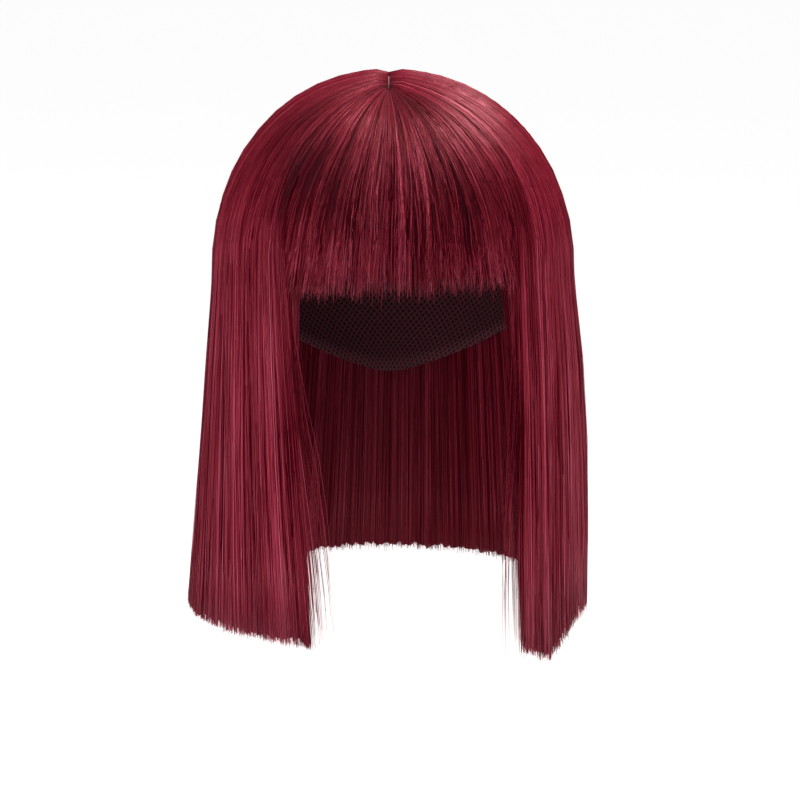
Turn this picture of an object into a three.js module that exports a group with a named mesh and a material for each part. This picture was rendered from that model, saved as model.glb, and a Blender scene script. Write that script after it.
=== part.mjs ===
// A straight bob wig with a full fringe: a net cap, a parting strip and four masses of combed hair.
// Millimetres, +Z up, the face looks along -Y. The origin is the cap's inner top, where a head bears.
import * as THREE from "three";
import { mergeVertices } from "three/addons/utils/BufferGeometryUtils.js";

// Driving sizes, in millimetres and degrees.
const CROWN_TOP = 6;
const CROWN_ARCH = 4;
const HALF_WIDTH = 93.5;
const TEMPLE_SHIFT = 1.2;
const FRONT_REACH = 102;
const BACK_REACH = 112;
const HEM_HALF_WIDTH = 103;
const HEM_SHIFT = -2;
const HEM_FRONT_REACH = 100;
const HEM_BACK_REACH = 107;
const HEM_HEIGHT = -271;
const BROW_HEIGHT = -88;
const PARTING_FRONT = -32;
const PARTING_BACK = 44;
const PARTING_HALF_GAP = 1.6;
const SEAM_GAP = 0.4;

// The dome's height from the crown down to where the hair starts to hang, by direction.
const DOME_DROP = { front: 68, side: 108, back: 112 };

// Below 1 the dome is fuller than a quarter of an ellipse.
const DOME_POWER = 0.92;

// The slope at which hair leaves the ends of the parting, which the crown's arch carries on.
const CROWN_LEAN = { front: 16, back: 10 };

// The cap, and how far its inner face lies inside the hair's outer face.
const CAP_WALL = 1.5;
const CAP_SEAT_GAP = 0.6;
const CAP_INSET = { end: 14, side: 18 };
const CAP_RIM = { front: -42, back: -165 };
const NAPE_TUCK = 22;
const CAP_COLUMNS = 44;
const CAP_ROWS = 9;

// The strip under the parting.
const STRIP_HALF_WIDTH = 7;
const STRIP_THICKNESS = 1;
const STRIP_GAP = 0.4;
const STRIP_END_MARGIN = 5;
const STRIP_END_SHARE = 0.3;

// The thickness of hair at its ends and at the curtains' free edges.
const HEM_THICKNESS = 8;
const BANGS_TIP_THICKNESS = 4;
const FREE_EDGE_SHARE = 0.4;
const FREE_EDGE_REACH = 0.28;

// Angles from the crown down the dome, and shares of the way from the dome's foot to the ends.
const DOME_ANGLES = [0, 9, 18, 28, 38, 48, 58, 68, 79, 90];
const HANG_SHARES = [0.22, 0.46, 0.7, 0.9, 1];

// Azimuths: 0 is the face's side, positive is the wearer's left. Each mass runs between two edges,
// given at the dome's foot and at the tips. Its ends fall to a point: where, how far and how wide.
const MASSES = {
  bangs: { from: -30, to: 40, tipFrom: -28, tipTo: 38, pointAt: -30, pointDrop: 3, pointSpread: 16 },
  left_curtain: { from: 40, to: 122, tipFrom: 42, tipTo: 122, pointAt: 53, pointDrop: 12, pointSpread: 15 },
  back_curtain: { from: 122, to: 238, tipFrom: 122, tipTo: 238, pointAt: 180, pointDrop: 0, pointSpread: 40 },
  right_curtain: { from: 238, to: 330, tipFrom: 238, tipTo: 338, pointAt: 338, pointDrop: 4, pointSpread: 16 },
};

// The locks of each mass in order of azimuth: relative width, height of the crest, extra length of the tip.
const LOCKS = {
  bangs: [
    { width: 7, crest: 1.6, tip: 3 },
    { width: 9, crest: 2.2, tip: -2 },
    { width: 8, crest: 1.4, tip: 2 },
    { width: 10, crest: 2.4, tip: 0 },
    { width: 7, crest: 1.5, tip: -4 },
    { width: 9, crest: 2.1, tip: 2 },
    { width: 8, crest: 1.3, tip: -1 },
    { width: 8, crest: 2.0, tip: 3 },
  ],
  left_curtain: [
    { width: 7, crest: 1.4, tip: -1 },
    { width: 9, crest: 2.0, tip: 3 },
    { width: 8, crest: 1.5, tip: 1 },
    { width: 10, crest: 2.2, tip: -1 },
    { width: 8, crest: 1.3, tip: 1 },
    { width: 11, crest: 2.0, tip: -1 },
    { width: 9, crest: 1.5, tip: 1 },
    { width: 10, crest: 1.9, tip: -2 },
    { width: 9, crest: 1.4, tip: 1 },
  ],
  back_curtain: [
    { width: 10, crest: 1.6, tip: 0 },
    { width: 9, crest: 2.0, tip: -2 },
    { width: 11, crest: 1.5, tip: 1 },
    { width: 9, crest: 2.1, tip: -1 },
    { width: 10, crest: 1.5, tip: 2 },
    { width: 10, crest: 1.9, tip: -2 },
    { width: 9, crest: 1.4, tip: 1 },
    { width: 11, crest: 2.0, tip: -1 },
    { width: 9, crest: 1.6, tip: 0 },
  ],
  right_curtain: [
    { width: 9, crest: 1.5, tip: 0 },
    { width: 10, crest: 2.0, tip: -2 },
    { width: 9, crest: 1.4, tip: 1 },
    { width: 11, crest: 2.1, tip: -1 },
    { width: 9, crest: 1.5, tip: 0 },
    { width: 10, crest: 2.2, tip: -2 },
    { width: 8, crest: 1.4, tip: -1 },
    { width: 9, crest: 2.0, tip: 1 },
    { width: 7, crest: 1.5, tip: 0 },
    { width: 8, crest: 1.8, tip: 2 },
  ],
};
const COLUMNS_PER_LOCK = 4;

const lerp = THREE.MathUtils.lerp;
const radians = THREE.MathUtils.degToRad;
const smooth = THREE.MathUtils.smoothstep;

// Where a hair of the given azimuth leaves the parting, which narrows to a point at both ends.
function rootPoint(azimuth, halfGap) {
  const middle = (PARTING_FRONT + PARTING_BACK) / 2;
  const half = (PARTING_BACK - PARTING_FRONT) / 2;
  return new THREE.Vector2(halfGap * Math.sin(azimuth), middle - half * Math.cos(azimuth));
}

// A point of an oval plan with its own front and back reach.
function ovalPoint(azimuth, halfWidth, front, back, shift) {
  const reach = Math.cos(azimuth) > 0 ? front : back;
  return new THREE.Vector2(shift + halfWidth * Math.sin(azimuth), -reach * Math.cos(azimuth));
}

// How far the dome falls before the hair hangs, blended from the side to the front or the back.
function domeDrop(azimuth) {
  const c = Math.cos(azimuth);
  const end = c > 0 ? DOME_DROP.front : DOME_DROP.back;
  return lerp(DOME_DROP.side, end, Math.abs(c) ** 1.5);
}

// How far the cap's inner face lies inside the hair's outer face.
function capInset(azimuth) {
  return lerp(CAP_INSET.end, CAP_INSET.side, Math.sin(azimuth) ** 2);
}

// A point of the dome: the angle runs from the crown, 0, to the foot, 90 degrees. The inset is
// measured inwards at the foot and the dip downwards at the crown.
function domePoint(azimuth, angle, inset, dip, halfGap) {
  const c = Math.cos(azimuth);
  const lean = radians(c > 0 ? CROWN_LEAN.front : CROWN_LEAN.back) * c ** 2;
  const turned = lean + angle * (1 - lean / (Math.PI / 2));
  const start = Math.sin(lean) ** DOME_POWER;
  const out = (Math.sin(turned) ** DOME_POWER - start) / (1 - start);
  const root = rootPoint(azimuth, halfGap);
  const way = ovalPoint(azimuth, HALF_WIDTH, FRONT_REACH, BACK_REACH, TEMPLE_SHIFT).sub(root);
  way.setLength(way.length() - inset);
  const plan = root.addScaledVector(way, out);
  const top = CROWN_TOP - CROWN_ARCH * c ** 2 - dip;
  const foot = CROWN_TOP - domeDrop(azimuth);
  const rise = Math.max(Math.cos(turned) / Math.cos(lean), 0) ** DOME_POWER;
  return new THREE.Vector3(plan.x, plan.y, lerp(foot, top, rise));
}

// A point of the hanging hair, from the dome's foot, share 0, to the ends, share 1.
function hangPoint(azimuth, share, inset, endHeight) {
  const foot = ovalPoint(azimuth, HALF_WIDTH, FRONT_REACH, BACK_REACH, TEMPLE_SHIFT);
  const hem = ovalPoint(azimuth, HEM_HALF_WIDTH, HEM_FRONT_REACH, HEM_BACK_REACH, HEM_SHIFT);
  const start = CROWN_TOP - domeDrop(azimuth);
  const height = lerp(start, endHeight, share);
  const fall = (start - height) / (start - HEM_HEIGHT);
  const root = rootPoint(azimuth, 0);
  const way = foot.lerp(hem, fall).sub(root);
  way.setLength(way.length() - inset);
  return new THREE.Vector3(root.x + way.x, root.y + way.y, height);
}

// A closed solid between an outer and an inner sheet of points, each given by column and row.
// An open sheet is closed by four edge walls, a ring by its last row alone.
function sheetSolid(columns, rows, outer, inner, ring = false) {
  const points = [];
  const faces = [];
  const across = ring ? columns : columns + 1;
  const at = (sheet, column, row) => (sheet * (rows + 1) + row) * across + (column % across);
  const quad = (a, b, c, d) => faces.push(a, b, c, a, c, d);
  for (const sheet of [outer, inner]) {
    for (let row = 0; row <= rows; row += 1) {
      for (let column = 0; column < across; column += 1) {
        points.push(...sheet(column, row).toArray());
      }
    }
  }
  for (let column = 0; column < columns; column += 1) {
    for (let row = 0; row < rows; row += 1) {
      const [left, right] = [column, column + 1];
      quad(at(0, left, row), at(0, left, row + 1), at(0, right, row + 1), at(0, right, row));
      quad(at(1, left, row), at(1, right, row), at(1, right, row + 1), at(1, left, row + 1));
    }
    quad(at(0, column, rows), at(1, column, rows), at(1, column + 1, rows), at(0, column + 1, rows));
    if (!ring) {
      quad(at(0, column, 0), at(0, column + 1, 0), at(1, column + 1, 0), at(1, column, 0));
    }
  }
  if (!ring) {
    for (let row = 0; row < rows; row += 1) {
      quad(at(0, 0, row), at(1, 0, row), at(1, 0, row + 1), at(0, 0, row + 1));
      quad(at(0, columns, row), at(0, columns, row + 1), at(1, columns, row + 1), at(1, columns, row));
    }
  }
  const geometry = new THREE.BufferGeometry();
  geometry.setAttribute("position", new THREE.Float32BufferAttribute(points, 3));
  geometry.setIndex(faces);
  const merged = mergeVertices(geometry, 1e-3);
  merged.computeVertexNormals();
  return merged;
}

// The net cap: a dome with its rim high at the face, low at the nape and tucked in there.
function capGeometry() {
  const rimMiddle = (CAP_RIM.front + CAP_RIM.back) / 2;
  const rimRise = (CAP_RIM.front - CAP_RIM.back) / 2;
  const sheet = (inset, dip) => (column, row) => {
    const azimuth = (2 * Math.PI * column) / CAP_COLUMNS;
    const drop = domeDrop(azimuth);
    const foot = CROWN_TOP - drop;
    const rim = rimMiddle + rimRise * Math.cos(azimuth);
    const lowest = Math.acos(THREE.MathUtils.clamp((rim - foot) / drop, 0, 1));
    const hang = Math.max(foot - rim, 0);
    const travel = (row / CAP_ROWS) * (lowest * drop + hang);
    const depth = capInset(azimuth) - inset;
    if (travel <= lowest * drop) {
      return domePoint(azimuth, travel / drop, depth, dip, 0);
    }
    const below = travel - lowest * drop;
    const tuck = NAPE_TUCK * (below / (CROWN_TOP - DOME_DROP.back - CAP_RIM.back)) ** 2;
    return hangPoint(azimuth, below / hang, depth + tuck, rim);
  };
  return sheetSolid(CAP_COLUMNS, CAP_ROWS, sheet(CAP_WALL, CROWN_TOP - CAP_WALL), sheet(0, CROWN_TOP), true);
}

// The parting strip: a thin plate, narrower at its ends, arched along the parting and bent across it.
function stripGeometry() {
  const columns = 6;
  const rows = 6;
  const reach = HALF_WIDTH - CAP_INSET.side + CAP_WALL;
  const start = PARTING_FRONT + STRIP_END_MARGIN;
  const end = PARTING_BACK - STRIP_END_MARGIN;
  const sheet = (lift) => (column, row) => {
    const half = STRIP_HALF_WIDTH * lerp(STRIP_END_SHARE, 1, Math.sin((Math.PI * row) / rows));
    const x = lerp(-half, half, column / columns);
    const bend = DOME_DROP.side * (1 - Math.sqrt(1 - (x / reach) ** 2));
    const y = lerp(end, start, row / rows);
    const middle = (PARTING_FRONT + PARTING_BACK) / 2;
    const arch = CROWN_ARCH * ((y - middle) / (PARTING_BACK - middle)) ** 2;
    return new THREE.Vector3(x, y, CAP_WALL + STRIP_GAP + lift - bend - arch);
  };
  return sheetSolid(columns, rows, sheet(STRIP_THICKNESS), sheet(0));
}

// Where each column of a mass lies: its share across the mass, the crest's height and the tip's length.
function lockColumns(locks) {
  const total = locks.reduce((sum, lock) => sum + lock.width, 0);
  const columns = [];
  let passed = 0;
  for (const lock of locks) {
    for (let step = 0; step < COLUMNS_PER_LOCK; step += 1) {
      const swell = Math.sin((Math.PI * step) / COLUMNS_PER_LOCK);
      const share = (passed + (lock.width * step) / COLUMNS_PER_LOCK) / total;
      columns.push({ share, crest: lock.crest * swell, tip: lock.tip * swell });
    }
    passed += lock.width;
  }
  columns.push({ share: 1, crest: 0, tip: 0 });
  return columns;
}

// How much of its full thickness a hanging mass keeps near its free edges.
function edgeShare(share, freeFrom, freeTo) {
  const near = Math.min(freeFrom ? share : 1, freeTo ? 1 - share : 1);
  return lerp(FREE_EDGE_SHARE, 1, smooth(near, 0, FREE_EDGE_REACH));
}

// A mass of hair: a wall over the cap that hangs on below it, with its locks as ribs along the comb.
function hairGeometry(name, ends) {
  const mass = MASSES[name];
  const columns = lockColumns(LOCKS[name]);
  const rows = DOME_ANGLES.length + HANG_SHARES.length - 1;
  const lastColumn = columns.length - 1;
  const crownHair = CROWN_TOP - CAP_WALL - CAP_SEAT_GAP;
  const stripHair = CROWN_TOP - CAP_WALL - 2 * STRIP_GAP - STRIP_THICKNESS;
  const place = (column, row, outside) => {
    const { share, crest, tip } = columns[column];
    const hang = row < DOME_ANGLES.length ? 0 : HANG_SHARES[row - DOME_ANGLES.length];
    const from = lerp(mass.from, mass.tipFrom, hang);
    const to = lerp(mass.to, mass.tipTo, hang);
    const azimuth = radians(lerp(from, to, share));
    const full = capInset(azimuth) - CAP_WALL - CAP_SEAT_GAP;
    const edge = edgeShare(share, ends.freeFrom, ends.freeTo);
    const thin = lerp(full, ends.thickness, hang) * lerp(1, edge, smooth(hang, 0, 0.5));
    if (row < DOME_ANGLES.length) {
      const angle = radians(DOME_ANGLES[row]);
      const dip = lerp(stripHair, crownHair, smooth(DOME_ANGLES[row], 9, 18));
      const rib = crest * smooth(DOME_ANGLES[row], 10, 60);
      return outside
        ? domePoint(azimuth, angle, -rib, 0, PARTING_HALF_GAP)
        : domePoint(azimuth, angle, full, dip, PARTING_HALF_GAP);
    }
    const taper = smooth(hang, 0.85, 1) * 0.25 * thin;
    const inset = outside ? taper - crest : thin - taper;
    const fromPoint = (lerp(from, to, share) - mass.pointAt) / mass.pointSpread;
    const point = mass.pointDrop * Math.exp(-(fromPoint ** 2));
    return hangPoint(azimuth, hang, inset, ends.height - tip - point);
  };
  // The two edge columns stand half a seam gap inside their neighbours' shared line.
  const sheet = (outside) => (column, row) => {
    const point = place(column, row, outside);
    if (column > 0 && column < lastColumn) {
      return point;
    }
    const next = place(column === 0 ? 1 : lastColumn - 1, row, outside);
    const inwards = next.sub(point).setLength(SEAM_GAP / 2);
    return point.add(inwards);
  };
  return sheetSolid(lastColumn, rows, sheet(true), sheet(false));
}

// Finishes.
function hairFibre() {
  return new THREE.MeshStandardMaterial({ color: 0x73202f, roughness: 0.42, metalness: 0 });
}

function capNet() {
  return new THREE.MeshStandardMaterial({ color: 0x2a1216, roughness: 0.9, metalness: 0 });
}

function partingSkin() {
  return new THREE.MeshStandardMaterial({ color: 0xd9b39a, roughness: 0.75, metalness: 0 });
}

// The nodes of the wig.
function named(name, geometry, material) {
  const mesh = new THREE.Mesh(geometry, material);
  mesh.name = name;
  return mesh;
}

const hemEnds = { height: HEM_HEIGHT, thickness: HEM_THICKNESS };
const bangsEnds = { height: BROW_HEIGHT, thickness: BANGS_TIP_THICKNESS, freeFrom: false, freeTo: false };

const wig = new THREE.Group();
wig.name = "wig";
wig.add(named("cap", capGeometry(), capNet()));
wig.add(named("parting_strip", stripGeometry(), partingSkin()));
wig.add(named("bangs", hairGeometry("bangs", bangsEnds), hairFibre()));
wig.add(
  named("left_curtain", hairGeometry("left_curtain", { ...hemEnds, freeFrom: true, freeTo: false }), hairFibre()),
);
wig.add(
  named("right_curtain", hairGeometry("right_curtain", { ...hemEnds, freeFrom: false, freeTo: true }), hairFibre()),
);
wig.add(
  named("back_curtain", hairGeometry("back_curtain", { ...hemEnds, freeFrom: false, freeTo: false }), hairFibre()),
);

export default wig;
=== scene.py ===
"""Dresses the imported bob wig: combed hair as fine strands over hair bodies, a net cap and a parting strip.

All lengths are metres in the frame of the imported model: +Z is up, -Y the front and +X the wearer's left,
and the origin is the cap's inner top.
"""

import logging
from dataclasses import dataclass, field
from enum import Enum
from typing import Any

import bpy
import numpy as np
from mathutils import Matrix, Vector


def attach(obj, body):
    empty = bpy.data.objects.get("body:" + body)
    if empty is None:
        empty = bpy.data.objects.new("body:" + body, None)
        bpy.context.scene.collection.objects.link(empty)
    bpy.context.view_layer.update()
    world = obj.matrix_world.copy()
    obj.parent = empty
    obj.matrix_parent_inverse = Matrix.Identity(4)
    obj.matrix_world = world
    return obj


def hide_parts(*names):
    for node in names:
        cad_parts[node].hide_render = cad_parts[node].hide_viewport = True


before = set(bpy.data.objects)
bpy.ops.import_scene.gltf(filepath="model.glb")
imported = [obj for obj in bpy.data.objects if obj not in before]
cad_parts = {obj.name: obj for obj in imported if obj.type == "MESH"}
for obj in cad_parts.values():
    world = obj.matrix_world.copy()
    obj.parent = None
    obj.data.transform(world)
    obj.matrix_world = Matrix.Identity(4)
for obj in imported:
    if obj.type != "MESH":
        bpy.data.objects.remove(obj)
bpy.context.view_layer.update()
MM = 0.001
KNOTS = 128
LEAST_HANG = 1 * MM
PROBE = 1 * MM
INNER_SHIFT = 0.5
NO_FACES = np.zeros((0, 3), int)
LOG = logging.getLogger("wig")
Array = np.ndarray


def smooth(value: Array, low: float, high: float) -> Array:
    """Eased step: 0 below low, 1 above high, with a cubic between them.

    Args:
        value: where to read the step.
        low: end of the flat 0.
        high: start of the flat 1.

    Returns:
        The eased share, in value's shape.
    """
    t = np.clip((np.asarray(value, float) - low) / (high - low), 0.0, 1.0)
    return t * t * (3.0 - 2.0 * t)


def blend(a: Array, b: Array, share: Array) -> Array:
    """Straight mix of a and b, a at share 0 and b at share 1."""
    return a + (b - a) * share


def unit(vectors: Array) -> Array:
    """Vectors along the last axis at length 1."""
    return vectors / np.maximum(np.linalg.norm(vectors, axis=-1, keepdims=True), 1e-12)


def wander(across: Array, along: Array, rng: np.random.Generator) -> Array:
    """Smooth random wave of two variables, between -1 and 1.

    Random values stand at every pair of whole numbers and eased steps join them both ways.

    Args:
        across: first variable.
        along: second variable.
        rng: seeded source.

    Returns:
        The wave in the variables' common shape.
    """
    knots = rng.uniform(-1.0, 1.0, (KNOTS, KNOTS))
    column, row = np.floor(across).astype(int), np.floor(along).astype(int)
    here, after = column % KNOTS, (column + 1) % KNOTS
    ease = smooth(across - column, 0.0, 1.0)
    first, second = (
        blend(knots[here, line % KNOTS], knots[after, line % KNOTS], ease) for line in (row, row + 1)
    )
    return blend(first, second, smooth(along - row, 0.0, 1.0))


class Mass(Enum):
    """The four combed masses of hair, by the node that each one dresses."""

    BANGS = "bangs"
    LEFT = "left_curtain"
    RIGHT = "right_curtain"
    BACK = "back_curtain"


class FreeEdge(Enum):
    """The edge of a mass that hangs free at the front opening, by its share across the mass."""

    NONE = -1
    START = 0
    STOP = 1

    def way_over(self) -> float:
        """Sign of the way across the mass that leads over the edge into the opening."""
        return -1.0 if self is FreeEdge.START else 1.0


@dataclass(frozen=True)
class WigForm:
    """The wig's main form: a dome from the parting to the temples and a hang from there to the hem.

    Azimuth 0 is the front and positive is the wearer's left.
    """

    crown_top: float = 6.6 * MM
    crown_arch: float = 4 * MM
    half_width: float = 93.5 * MM
    temple_shift: float = 1.2 * MM
    front_reach: float = 102 * MM
    back_reach: float = 112 * MM
    hem_half_width: float = 105.5 * MM
    left_swell: float = 2.6
    hem_shift: float = -2 * MM
    hem_front_reach: float = 100 * MM
    hem_back_reach: float = 107 * MM
    hem_height: float = -271 * MM
    fringe_height: float = -88 * MM
    parting_shift: float = -1.0 * MM
    parting_front: float = -32 * MM
    parting_back: float = 44 * MM
    front_drop: float = 68 * MM
    side_drop: float = 108 * MM
    back_drop: float = 112 * MM
    dome_power: float = 0.92
    front_lean: float = float(np.radians(16.0))
    back_lean: float = float(np.radians(10.0))
    cap_wall: float = 1.5 * MM
    cap_seat_gap: float = 0.6 * MM
    cap_end_inset: float = 14 * MM
    cap_side_inset: float = 18 * MM
    cap_front_rim: float = -42 * MM
    cap_back_rim: float = -165 * MM
    nape_tuck: float = 22 * MM

    def drop(self, azimuth: Array) -> Array:
        """Height of the dome, mixed from the side's to the front's or the back's by |cos| to the 1.5."""
        c = np.cos(azimuth)
        return blend(self.side_drop, np.where(c > 0, self.front_drop, self.back_drop), np.abs(c) ** 1.5)

    def foot(self, azimuth: Array) -> Array:
        """Height of the dome's foot, where the hair starts to hang."""
        return self.crown_top - self.drop(azimuth)

    def cap_inset(self, azimuth: Array) -> Array:
        """How far the cap's inner face lies inside the hair's outer face at the dome's foot."""
        return blend(self.cap_end_inset, self.cap_side_inset, np.sin(azimuth) ** 2)

    def oval(self, azimuth: Array, wide: float, front: float, back: float, shift: float) -> Array:
        """Plan point of an oval with its own front and back reach, shifted sideways."""
        reach = np.where(np.cos(azimuth) > 0, front, back)
        return np.stack([shift + wide * np.sin(azimuth), -reach * np.cos(azimuth)], -1)

    def root(self, azimuth: Array, gap: Array) -> Array:
        """Plan point where hair leaves the parting, a thin oval as long as the parting."""
        middle = (self.parting_front + self.parting_back) / 2
        half = (self.parting_back - self.parting_front) / 2
        sideways = self.parting_shift + gap * np.sin(azimuth)
        return np.stack(np.broadcast_arrays(sideways, middle - half * np.cos(azimuth)), -1)

    def place(self, azimuth: Array, run: Array, inset: Array, dip: Array, gap: Array, end: Array) -> Array:
        """Point of a comb line.

        Run 0 to 1 goes down the dome: out by the sine and down by the cosine of the same turning angle,
        both to the dome's power, from the parting to the temple oval. Run 1 to 2 hangs straight from the
        temple oval towards the hem oval, which the wearer's left side reaches early.

        Args:
            azimuth: direction of the comb line from the parting, in radians.
            run: place along the comb line, 0 to 2.
            inset: distance inside the outer face at the dome's foot and below.
            dip: distance below the outer face at the crown.
            gap: half width of the parting where the line starts.
            end: height of the comb line's end.

        Returns:
            Points with a last axis of 3, in the arguments' common shape.
        """
        azimuth, run, inset, dip, gap, end = np.broadcast_arrays(azimuth, run, inset, dip, gap, end)
        c = np.cos(azimuth)
        lean = np.where(c > 0, self.front_lean, self.back_lean) * c**2
        turned = lean + np.clip(run, 0, 1) * (np.pi / 2 - lean)
        start = np.sin(lean) ** self.dome_power
        out = (np.sin(turned) ** self.dome_power - start) / (1 - start)
        temple = self.oval(azimuth, self.half_width, self.front_reach, self.back_reach, self.temple_shift)
        foot = self.foot(azimuth)
        root = self.root(azimuth, gap)
        way = temple - root
        length = np.linalg.norm(way, axis=-1)
        dome = root + way * ((length - inset) / length * out)[..., None]
        top = self.crown_top - self.crown_arch * c**2 - dip
        rise = np.maximum(np.cos(turned) / np.cos(lean), 0) ** self.dome_power
        height = blend(foot, end, np.clip(run - 1, 0, None))
        fall = (foot - height) / (foot - self.hem_height)
        early = 1 - np.clip(1 - fall, 0, None) ** self.left_swell
        fall = np.where(fall < 1, blend(fall, early, np.clip(np.sin(azimuth), 0, 1) ** 2), fall)
        hem = self.oval(
            azimuth, self.hem_half_width, self.hem_front_reach, self.hem_back_reach, self.hem_shift
        )
        middle = self.root(azimuth, np.zeros_like(gap))
        way = blend(temple, hem, fall[..., None]) - middle
        length = np.linalg.norm(way, axis=-1)
        hang = middle + way * ((length - inset) / length)[..., None]
        falls = run > 1
        plan = np.where(falls[..., None], hang, dome)
        return np.concatenate([plan, np.where(falls, height, blend(foot, top, rise))[..., None]], -1)


@dataclass(frozen=True)
class Span:
    """The part of the wig that one mass covers, in degrees of azimuth, and how its ends are cut."""

    start: float
    stop: float
    tip_start: float
    tip_stop: float
    point_at: float
    point_drop: float
    point_spread: float
    end_height: float
    swing_from: float = 0.5
    hang_length: float = 1.0

    def way(self, run: Array, hang: Array = 1.0) -> Array:
        """Share of a full strand's length at a run.

        A full hang is hang_length times as long as the dome.

        Args:
            run: place along the comb line.
            hang: a shorter strand's hang, as a share of the full hang.

        Returns:
            The share.
        """
        hung = self.hang_length * hang * np.clip(run - 1, 0, None)
        return (np.clip(run, 0, 1) + hung) / (1 + self.hang_length)

    def azimuth(self, share: Array, way: Array) -> Array:
        """Azimuth in radians at a share across the mass, swung evenly to its tip edges from swing_from on."""
        swung = np.clip((way - self.swing_from) / (1 - self.swing_from), 0, 1)
        first = blend(self.start, self.tip_start, swung)
        return np.radians(blend(first, blend(self.stop, self.tip_stop, swung), share))

    def end(self, share: Array) -> Array:
        """Height of the cut at a share across the mass, with a bell-shaped drop to its point."""
        away = (blend(self.tip_start, self.tip_stop, share) - self.point_at) / self.point_spread
        return self.end_height - self.point_drop * np.exp(-(away**2))


@dataclass(frozen=True)
class PaintedShadeAndHollow:
    """A soft patch of painted shade on the hair's tone or, with a negative shade, of painted light.

    It has its middle at an azimuth in degrees and a run, reaches across and along by the same measures, and
    takes the painted shade off the tone and the depth off the hair, where a depth makes a real hollow.
    The calm is how far the strands' own tones draw together there.
    """

    azimuth: float
    run: float
    across: float
    along: float
    shade: float = 0.0
    depth: float = 0.0
    calm: float = 0.0

    def share(self, azimuth: Array, run: Array) -> Array:
        """Bell over the azimuth in degrees and the run, 1 at the hollow's middle."""
        turn = (np.degrees(azimuth) - self.azimuth + 180) % 360 - 180
        return np.exp(-((turn / self.across) ** 2) - ((run - self.run) / self.along) ** 2)


def linear(colour: str) -> tuple[float, float, float, float]:
    """Linear RGBA of an sRGB hex colour such as 7a2033."""
    parts = np.array([int(colour[i : i + 2], 16) for i in (0, 2, 4)]) / 255.0
    flat = np.where(parts <= 0.04045, parts / 12.92, ((parts + 0.055) / 1.055) ** 2.4)
    return (*map(float, flat), 1.0)


def add_node(tree: bpy.types.NodeTree, kind: str, links: dict[Any, Any], **settings: Any) -> bpy.types.Node:
    """Adds a node.

    Args:
        tree: the tree that takes it.
        kind: Blender's name of the node.
        links: input name or number to an output that feeds it or a value that it holds.
        settings: the node's own properties.

    Returns:
        The new node.
    """
    made = tree.nodes.new(kind)
    for name, value in settings.items():
        setattr(made, name, value)
    for key, value in links.items():
        if isinstance(value, bpy.types.NodeSocket):
            tree.links.new(value, made.inputs[key])
        else:
            made.inputs[key].default_value = value
    return made


def add_ramp(tree: bpy.types.NodeTree, source: Any, stops: tuple[tuple[float, str], ...]) -> bpy.types.Node:
    """Adds a colour ramp fed by source.

    Args:
        tree: the tree that takes it.
        source: the output that is read.
        stops: position and sRGB hex colour of each stop.

    Returns:
        The ramp's node.
    """
    made = add_node(tree, "ShaderNodeValToRGB", {"Fac": source})
    points = made.color_ramp.elements
    while len(points) < len(stops):
        points.new(0.5)
    for point, (position, colour) in zip(points, stops):
        point.position = position
        point.color = linear(colour)
    return made


def new_material(name: str) -> tuple[bpy.types.Material, bpy.types.NodeTree]:
    """An empty node material and its tree."""
    made = bpy.data.materials.new(name)
    made.use_nodes = True
    made.node_tree.nodes.clear()
    return made, made.node_tree


def finish_shader(tree: bpy.types.NodeTree, inputs: dict[str, Any]) -> None:
    """Closes a tree with a Principled shader.

    Args:
        tree: the tree to close.
        inputs: the shader's inputs, as add_node takes them.
    """
    shader = add_node(tree, "ShaderNodeBsdfPrincipled", inputs)
    add_node(tree, "ShaderNodeOutputMaterial", {"Surface": shader.outputs["BSDF"]})


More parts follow.
